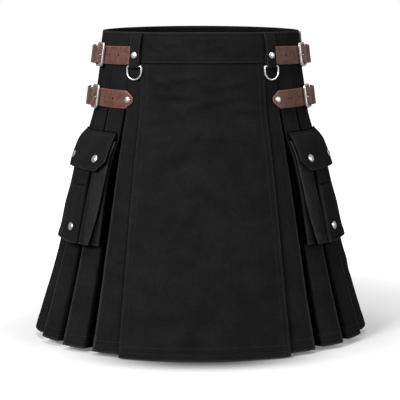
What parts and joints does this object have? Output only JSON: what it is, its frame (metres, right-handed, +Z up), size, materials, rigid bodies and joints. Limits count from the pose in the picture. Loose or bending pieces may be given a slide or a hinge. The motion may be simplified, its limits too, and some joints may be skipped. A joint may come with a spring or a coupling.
{
  "type": "utility kilt",
  "caption": "Knee-length pleated cloth kilt in its worn shape, with a flat front apron, cargo pockets at the hips, buckled leather straps and two hanging D-rings.",
  "frame": {"origin": "centre of the waist opening, on the level where the top edge sits at the wearer's sides", "axes": "+Z up, the apron faces -Y, +X is the wearer's left"},
  "size_m": [0.6716, 0.4946, 0.618],
  "materials": {
    "twill": "matt black heavy cotton twill",
    "strap_leather": "oiled brown bridle leather, satin, with paler cut edges",
    "nickel": "satin nickel plate"
  },
  "bodies": {
    "kilt": {"waistband_front": "twill", "waistband_back": "twill", "front_apron": "twill", "under_apron": "twill", "pleats_front_left": "twill", "pleats_front_right": "twill", "pleats_side_left": "twill", "pleats_side_right": "twill", "pleats_back_left": "twill", "pleats_back_right": "twill", "front_belt_loop_left": "twill", "front_belt_loop_right": "twill", "back_belt_loop_left": "twill", "back_belt_loop_right": "twill", "pocket_left": "twill", "pocket_right": "twill", "pocket_flap_left": "twill", "pocket_flap_right": "twill", "upper_strap_left": "strap_leather", "upper_strap_right": "strap_leather", "lower_strap_left": "strap_leather", "lower_strap_right": "strap_leather", "upper_chape_left": "strap_leather", "upper_chape_right": "strap_leather", "lower_chape_left": "strap_leather", "lower_chape_right": "strap_leather", "hip_tab_left": "strap_leather", "loop_rivet_left": "nickel", "loop_rivet_right": "nickel", "upper_buckle_left": "nickel", "upper_buckle_right": "nickel", "lower_buckle_left": "nickel", "lower_buckle_right": "nickel", "upper_prong_left": "nickel", "upper_prong_right": "nickel", "lower_prong_left": "nickel", "lower_prong_right": "nickel", "upper_chape_rivet_left": "nickel", "upper_chape_rivet_right": "nickel", "lower_chape_rivet_left": "nickel", "lower_chape_rivet_right": "nickel", "strap_tip_rivet_left": "nickel", "strap_tip_rivet_right": "nickel", "flap_snap_front_left": "nickel", "flap_snap_front_right": "nickel", "flap_snap_back_left": "nickel", "flap_snap_back_right": "nickel", "strip_snap_left": "nickel", "strip_snap_right": "nickel"},
    "left_ring": {"d_ring_left": "nickel"},
    "right_ring": {"d_ring_right": "nickel"}
  },
  "joints": [
    {"name": "left_ring_swing", "type": "hinge", "parent": "kilt", "child": "left_ring", "pos_m": [0.13073, -0.11511, -0.07021], "axis": [-0.8643, -0.503, 0], "range_deg": [0, 150]},
    {"name": "right_ring_swing", "type": "hinge", "parent": "kilt", "child": "right_ring", "pos_m": [-0.13073, -0.11511, -0.07021], "axis": [-0.8643, 0.503, 0], "range_deg": [0, 150]}
  ]
}
